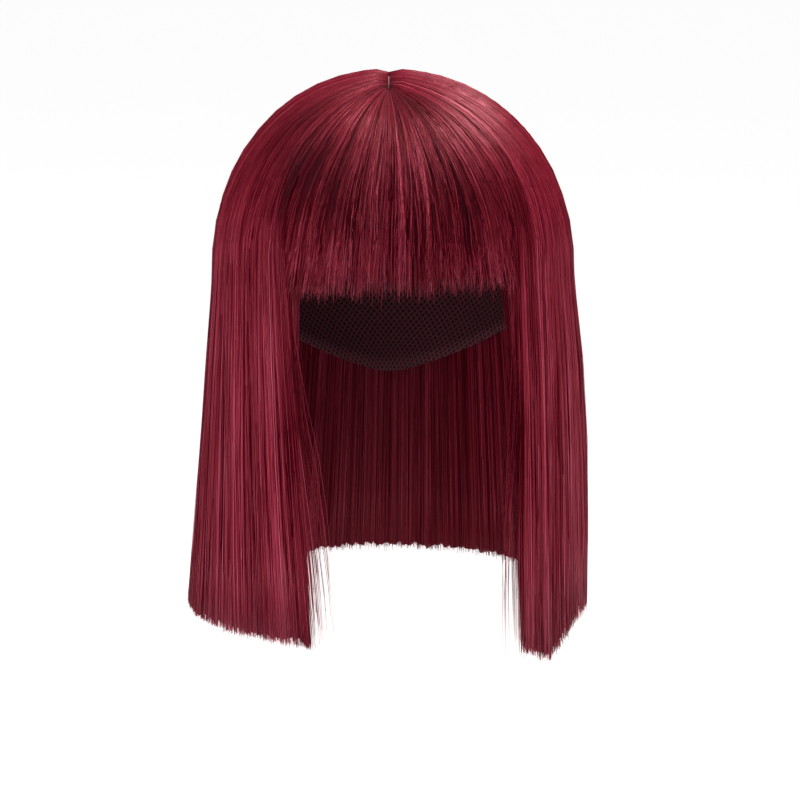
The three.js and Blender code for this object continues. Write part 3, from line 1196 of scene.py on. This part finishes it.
    def build_body(self, finish: bpy.types.Material) -> bpy.types.Object:
        """Makes the closed hair body that the strands lie on.

        The outer face follows the strands' locks a little deeper, with a fine random ridge in each column,
        and the inner face follows the cap and then thins to the ends and to the free edge.

        Args:
            finish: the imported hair's material.

        Returns:
            The object.
        """
        margin = self.body_margin / self.width
        share = np.linspace(margin, 1.0 - margin, self.columns + 1)[None, :]
        run = np.linspace(0.0, 2.0, self.rows + 1)[:, None]
        azimuth = (self.body_span or self.span).azimuth(share, self.span.way(run))
        ridge = self.body_ridge * self.rng.uniform(-1.0, 1.0, share.shape) * smooth(run, *self.relief_runs)
        end = self.span.end(share) + self.body_short + self.rng.normal(0.0, self.body_ragged, share.shape)
        depth = self.body_depth + self.sink(azimuth, share, run) - self.relief(share, run) - ridge
        dip = self.dip(run, self.body_dip * self.body_depth * smooth(run, *self.root_runs))
        outer = self.form.place(azimuth, run, depth, dip, self.body_gap, end)
        crown = self.form.crown_top - self.form.cap_wall - self.form.cap_seat_gap - self.top_room
        under = blend(self.root_depth, crown, smooth(run, 0.1, 0.2))
        thick = self.thickness(azimuth, share, run) + ridge * smooth(run, 1.0, 1.2)
        inner = self.form.place(azimuth, run, thick, under, self.body_gap, end)
        vertices = np.concatenate([outer.reshape(-1, 3), inner.reshape(-1, 3)])
        places = np.stack(np.broadcast_arrays(share * self.width, run * self.comb_length), -1).reshape(-1, 2)
        maps = {"Comb": np.concatenate([places, places + [INNER_SHIFT, 0.0]])}
        faces = shell_faces(self.columns, self.rows)
        return make_piece(f"{self.mass.value}_body", vertices, faces, NO_FACES, maps, {}, finish)

    def build(self, fibre: bpy.types.Material, packed: bpy.types.Material) -> None:
        """Makes the mass's pieces and hides its imported node.

        Args:
            fibre: finish of the strands.
            packed: finish of the body.
        """
        rng = self.rng
        pieces = [self.build_body(packed), self.build_strands("strands", [self.outer_strands()], fibre)]
        near, level = rng.uniform(0, 1, self.end_strands), rng.uniform(0, 1, self.end_strands) ** 2
        ends = self.short_strands(self.ends_from, near, level, self.end_rows)
        near, level = rng.uniform(0, 1, self.inner_strands), np.ones(self.inner_strands)
        inner = self.short_strands(self.inner_from, near, level, self.inner_rows)
        loose = [ends, inner, self.loose_strands()]
        if self.free_edge is not FreeEdge.NONE:
            near = np.abs(self.free_edge.value - rng.uniform(0.0, self.edge_width, self.edge_strands))
            level = rng.uniform(0, 1, self.edge_strands)
            loose.append(self.short_strands(self.edge_from, near, level, self.edge_rows))
            loose.append(self.wisp_strands())
        pieces.append(self.build_strands("loose_hair", loose, fibre))
        for piece in pieces:
            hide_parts(self.mass.value)


@dataclass
class NetCap:
    """The net dome that the hair is sewn to, open below."""

    form: WigForm
    columns: int = 96
    rows: int = 30

    def build(self, finish: bpy.types.Material) -> None:
        """Makes the cap as a ring-shaped shell from the crown to the rim, with a tucked nape.

        Args:
            finish: the net's material.
        """
        form = self.form
        azimuth = np.linspace(0.0, 2 * np.pi, self.columns + 1)[None, :]
        drop = form.drop(azimuth)
        foot = form.foot(azimuth)
        rim = blend(form.cap_back_rim, form.cap_front_rim, (1 + np.cos(azimuth)) / 2)
        lowest = np.arccos(np.clip((rim - foot) / drop, 0, 1))
        hang = np.maximum(foot - rim, 0)
        travel = np.linspace(0.0, 1.0, self.rows + 1)[:, None] * (lowest * drop + hang)
        below = np.maximum(travel - lowest * drop, 0)
        run = np.minimum(travel / drop, lowest) / (np.pi / 2) + below / np.maximum(hang, 1e-9)
        tuck = form.nape_tuck * (below / (form.crown_top - form.back_drop - form.cap_back_rim)) ** 2
        inset = form.cap_inset(azimuth) + tuck
        end = np.where(hang > 0, rim, foot - LEAST_HANG)
        outer = form.place(azimuth, run, inset - form.cap_wall, form.crown_top - form.cap_wall, 0.0, end)
        inner = form.place(azimuth, run, inset, form.crown_top, 0.0, end)
        vertices = np.concatenate([outer.reshape(-1, 3), inner.reshape(-1, 3)])
        round_it = azimuth * (form.half_width - form.cap_side_inset)
        places = np.stack(np.broadcast_arrays(round_it, travel), -1).reshape(-1, 2)
        maps = {"Comb": np.concatenate([places, places])}
        faces = shell_faces(self.columns, self.rows)
        piece = make_piece("cap_net", vertices, faces, NO_FACES, maps, {}, finish)
        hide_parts("cap")


def stand(name: str, data: bpy.types.ID, place: Vector, aim: Vector) -> bpy.types.Object:
    """Puts a light or a camera into the scene, looking at a point.

    Args:
        name: the object's name.
        data: the light or the camera.
        place: where it stands.
        aim: the point it looks at.

    Returns:
        The object.
    """
    made = bpy.data.objects.new(name, data)
    made.location = place
    made.rotation_euler = (aim - place).to_track_quat("-Z", "Y").to_euler()
    bpy.context.collection.objects.link(made)
    return made


@dataclass(frozen=True)
class SoftLight:
    """A square soft light: its place, its side, its power in watts and its sRGB hex colour."""

    name: str
    place: tuple[float, float, float]
    size: float
    power: float
    colour: str = "ffffff"

    def add(self, aim: Vector) -> None:
        """Adds the light.

        Args:
            aim: the point it looks at.
        """
        lamp = bpy.data.lights.new(self.name, "AREA")
        lamp.size = self.size
        lamp.energy = self.power
        lamp.color = linear(self.colour)[:3]
        stand(self.name, lamp, Vector(self.place), aim)


@dataclass
class Studio:
    """A pale floor, soft lights and the camera of the photograph.

    The camera stands at a distance and an elevation from the pivot, straight before the wig.
    """

    eye_distance: float = 1.65
    elevation: float = 11.0
    pivot_height: float = -0.128
    aim: tuple[float, float, float] = (0.0047, 0.0, -0.165)
    lens: float = 142.65
    sensor: float = 36.0
    floor_height: float = -0.62
    floor_side: float = 40.0
    surround: float = 0.22
    floor_glow: float = 0.76
    light_aim: tuple[float, float, float] = (0.0, 0.0, -0.12)
    lights: tuple[SoftLight, ...] = (
        SoftLight("key", (-0.3, -1.7, 0.25), 0.9, 14.5),
        SoftLight("crown", (0.45, 0.15, 1.05), 0.6, 12.5, "ffe2df"),
        SoftLight("overhead", (0.0, -0.75, 0.92), 1.1, 15.0),
    )

    def floor(self) -> None:
        """Adds a wide pale floor below the wig."""
        made, tree = new_material("pale studio floor")
        finish_shader(
            tree,
            {
                "Base Color": linear("fafafa"),
                "Roughness": 0.9,
                "Emission Color": linear("ffffff"),
                "Emission Strength": self.floor_glow,
            },
        )
        mesh = bpy.data.meshes.new("floor")
        side, level = self.floor_side, self.floor_height
        corners = [(-side, -side, level), (side, -side, level), (side, side, level), (-side, side, level)]
        mesh.from_pydata(corners, [], [(0, 1, 2, 3)])
        mesh.materials.append(made)
        floor = bpy.data.objects.new("floor", mesh)
        bpy.context.collection.objects.link(floor)

    def camera(self) -> None:
        """Adds the camera, looking at the wig's middle from the front and a little above."""
        tilt = np.radians(self.elevation)
        height = self.pivot_height + self.eye_distance * np.sin(tilt)
        eye = Vector((0.0, -self.eye_distance * np.cos(tilt), height))
        lens = bpy.data.cameras.new("camera")
        lens.lens = self.lens
        lens.sensor_width = self.sensor
        bpy.context.scene.camera = stand("camera", lens, eye, Vector(self.aim))

    def build(self) -> None:
        """Adds the world, the lights, the floor and the camera."""
        scene = bpy.context.scene
        scene.view_settings.view_transform = "Standard"
        scene.view_settings.look = "None"
        world = bpy.data.worlds.new("studio")
        world.use_nodes = True
        world.node_tree.nodes["Background"].inputs["Color"].default_value = (1, 1, 1, 1)
        world.node_tree.nodes["Background"].inputs["Strength"].default_value = self.surround
        scene.world = world
        for light in self.lights:
            light.add(Vector(self.light_aim))
        self.floor()
        self.camera()


def hair_masses(form: WigForm) -> list[HairMass]:
    """The four masses with their spans, cuts and strand counts.

    Args:
        form: the wig's main form.

    Returns:
        The masses in building order.
    """
    hem = form.hem_height
    # Painted shade beside the fringe over real hollows where the hair lies lower, and calm places on the
    # dome's sides.
    shared = (
        PaintedShadeAndHollow(-29, 0.7, 13, 0.27, shade=0.26, depth=1.5 * MM, calm=0.25),
        PaintedShadeAndHollow(46, 0.72, 6, 0.3, shade=0.18, depth=1.2 * MM),
        PaintedShadeAndHollow(-65, 0.62, 34, 0.42, calm=0.65),
        PaintedShadeAndHollow(68, 0.75, 30, 0.42, calm=0.6),
    )
    # Painted shade over the fringe, beside it, at its two sides, on the crown and before the parting; the
    # fringe's tips take painted light.
    whole_fringe = PaintedShadeAndHollow(3, 1.0, 42, 3.0, shade=0.12)
    beside_fringe = PaintedShadeAndHollow(3, 0.6, 42, 0.7, shade=0.12)
    fringe_left = PaintedShadeAndHollow(19, 1.05, 12, 0.5, shade=0.15)
    fringe_right = PaintedShadeAndHollow(-14, 0.88, 9, 0.2, shade=0.12)
    fringe_tips = PaintedShadeAndHollow(-8, 2.0, 23, 0.6, shade=-0.16)
    crown_right = PaintedShadeAndHollow(-53, 0.41, 23, 0.28, shade=0.24)
    before_parting = PaintedShadeAndHollow(26, 0.17, 22, 0.16, shade=0.25)
    # Painted sheen on the dome.
    sheen_right = PaintedShadeAndHollow(-27, 0.36, 10, 0.14, shade=-0.1)
    sheen_front = PaintedShadeAndHollow(10, 0.52, 12, 0.1, shade=-0.07)
    # Painted shade in a band left of the fringe; painted light on the outer left and at both temples.
    shade_band_left = PaintedShadeAndHollow(32, 0.78, 9, 0.17, shade=0.17)
    outer_left = PaintedShadeAndHollow(70, 1.45, 12, 0.4, shade=-0.09)
    temple_right = PaintedShadeAndHollow(-36, 1.14, 8, 0.28, shade=-0.15)
    temple_left = PaintedShadeAndHollow(52, 1.12, 10, 0.18, shade=-0.09)
    # Painted shade low on the free edges and at the outer hem; painted light on the inner hem and the hem's
    # tips.
    low_right = PaintedShadeAndHollow(-33, 1.45, 6, 0.15, shade=0.1)
    low_left = PaintedShadeAndHollow(40, 1.48, 5, 0.17, shade=0.15)
    hem_inner = PaintedShadeAndHollow(-27, 1.85, 8, 0.35, shade=-0.1)
    hem_outer = PaintedShadeAndHollow(-72, 1.8, 14, 0.25, shade=0.08)
    hem_tips = PaintedShadeAndHollow(-45, 2.0, 22, 0.1, shade=-0.06)
    return [
        HairMass(
            Mass.BANGS,
            Span(-32, 37.5, -41, 46, -30, 3 * MM, 16, form.fringe_height, swing_from=0.4, hang_length=0.22),
            form,
            body_span=Span(-35.5, 41.5, -35.5, 41.5, -30, 3 * MM, 16, form.fringe_height),
            seed=11,
            clumps=253,
            strands_per_clump=8,
            end_strands=850,
            inner_strands=150,
            shades_and_hollows=(
                *shared,
                whole_fringe,
                crown_right,
                before_parting,
                fringe_tips,
                fringe_left,
                fringe_right,
                sheen_right,
                sheen_front,
                shade_band_left,
            ),
            clump_width=1.5 * MM,
            layer_depth=1.2 * MM,
            lock_relief=1.2 * MM,
            lock_spacing=4.5,
            edge_sink=2.2 * MM,
            overlap=0.07,
            gap_depth=0.9 * MM,
            clump_sway=1.6 * MM,
            strand_sway=0.9 * MM,
            strand_radius=0.15 * MM,
            cut_spread=2.8 * MM,
            valley_shade=0.08,
            gap_shade=0.2,
            thinned_share=0.6,
            thinned_length=18 * MM,
            tip_gather=0.6,
            body_short=16 * MM,
            body_ragged=3 * MM,
            tip_thickness=4 * MM,
            loose_sway=2 * MM,
            ends_from=0.55,
            end_rows=7,
            end_depth=0.8 * MM,
            hang_steps=(1.35, 1.7, 2.0),
        ),
        HairMass(
            Mass.LEFT,
            Span(42, 122, 42, 122, 52, 14 * MM, 11, hem),
            form,
            seed=23,
            clumps=236,
            strands_per_clump=8,
            shades_and_hollows=(*shared, beside_fringe, temple_left, low_left, shade_band_left, outer_left),
            cut_spread=2.0 * MM,
            edge_shade=0.1,
            edge_shade_to=1.7,
            thinned_share=0.15,
            free_edge=FreeEdge.START,
        ),
        HairMass(
            Mass.RIGHT,
            Span(238, 324, 238, 338, 338, 0.5 * MM, 9, hem),
            form,
            seed=37,
            clumps=236,
            strands_per_clump=8,
            shades_and_hollows=(
                *shared,
                beside_fringe,
                crown_right,
                temple_right,
                low_right,
                hem_inner,
                hem_outer,
                hem_tips,
                sheen_right,
            ),
            tone=0.485,
            edge_shade=0.09,
            edge_shade_from=0.4,
            free_edge=FreeEdge.STOP,
        ),
        HairMass(
            Mass.BACK,
            Span(122, 238, 122, 238, 180, 0.0, 40, hem),
            form,
            seed=41,
            clumps=172,
            strands_per_clump=8,
            end_strands=800,
            inner_strands=700,
        ),
    ]


def main() -> None:
    """Builds the wig's pieces in order, then the studio."""
    logging.basicConfig(level=logging.INFO, format="%(message)s")
    form = WigForm()
    fibre = HairFibre().material()
    packed = PackedHair().material()
    for mass in hair_masses(form):
        mass.build(fibre, packed)
    NetCap(form).build(CapNet().material())
    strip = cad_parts["parting_strip"]
    strip.data.materials.clear()
    strip.data.materials.append(PartingSkin().material())
    Studio().build()


if __name__ == "__main__":
    main()
